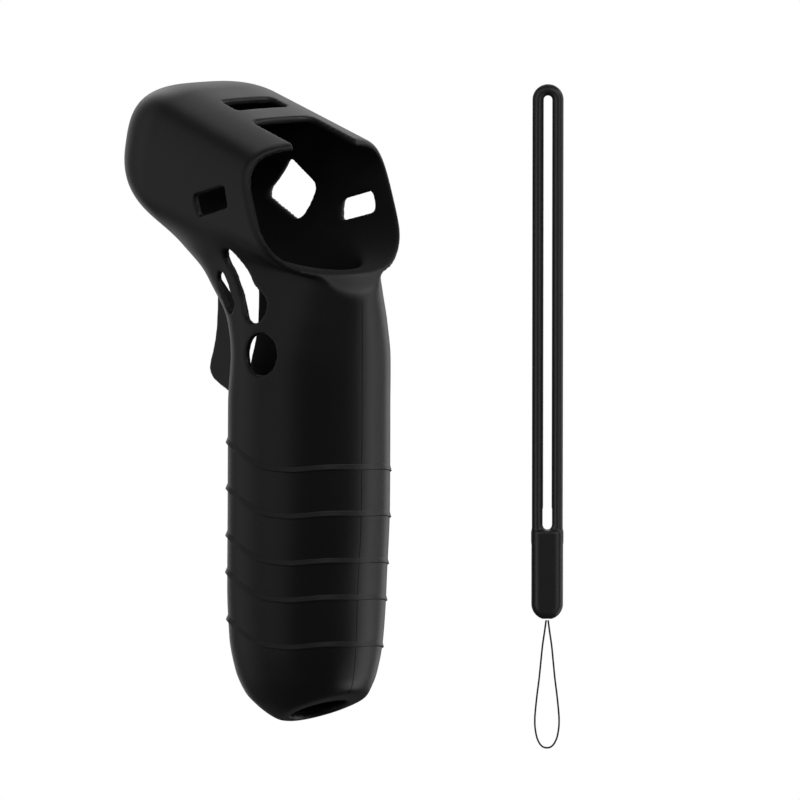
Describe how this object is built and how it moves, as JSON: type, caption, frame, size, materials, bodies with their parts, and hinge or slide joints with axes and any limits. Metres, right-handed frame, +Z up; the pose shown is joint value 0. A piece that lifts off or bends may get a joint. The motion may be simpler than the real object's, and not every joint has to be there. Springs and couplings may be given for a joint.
{
  "type": "motion controller sleeve",
  "caption": "Hollow silicone sleeve for a pistol-grip motion controller, with a ribbed grip, an open face, a trigger collar and a wrist strap with a cord loop.",
  "frame": {"origin": "on the grip's axis at the level of the sleeve's lowest point, where the controller inside carries the sleeve", "axes": "+Z up the grip, -Y toward the thumb side, +Y toward the nose of the head, -X toward the side with the round button hole"},
  "size_m": [0.0701, 0.0992, 0.1595],
  "materials": {
    "sleeve_silicone": "matte moulded silicone",
    "strap_silicone": "satin moulded silicone",
    "cord": "braided cord"
  },
  "bodies": {
    "sleeve": {"sleeve_grip": "sleeve_silicone", "sleeve_neck": "sleeve_silicone", "sleeve_head": "sleeve_silicone", "trigger_collar": "sleeve_silicone", "grip_rib_1": "sleeve_silicone", "grip_rib_2": "sleeve_silicone", "grip_rib_3": "sleeve_silicone", "grip_rib_4": "sleeve_silicone", "grip_rib_5": "sleeve_silicone"},
    "strap": {"wrist_loop": "strap_silicone", "strap_tab": "strap_silicone", "cord_knot": "cord"},
    "cord": {"cord_loop": "cord"}
  },
  "joints": [
    {"name": "strap_swing", "type": "hinge", "parent": "sleeve", "child": "strap", "pos_m": [0.0447, -0.0349, 0.149], "axis": [-0.6157, -0.788, 0], "range_deg": [-10, 30]},
    {"name": "cord_swing", "type": "hinge", "parent": "strap", "child": "cord", "pos_m": [0.0447, -0.0349, 0.0242], "axis": [-0.6157, -0.788, 0], "range_deg": [-15, 45]}
  ]
}
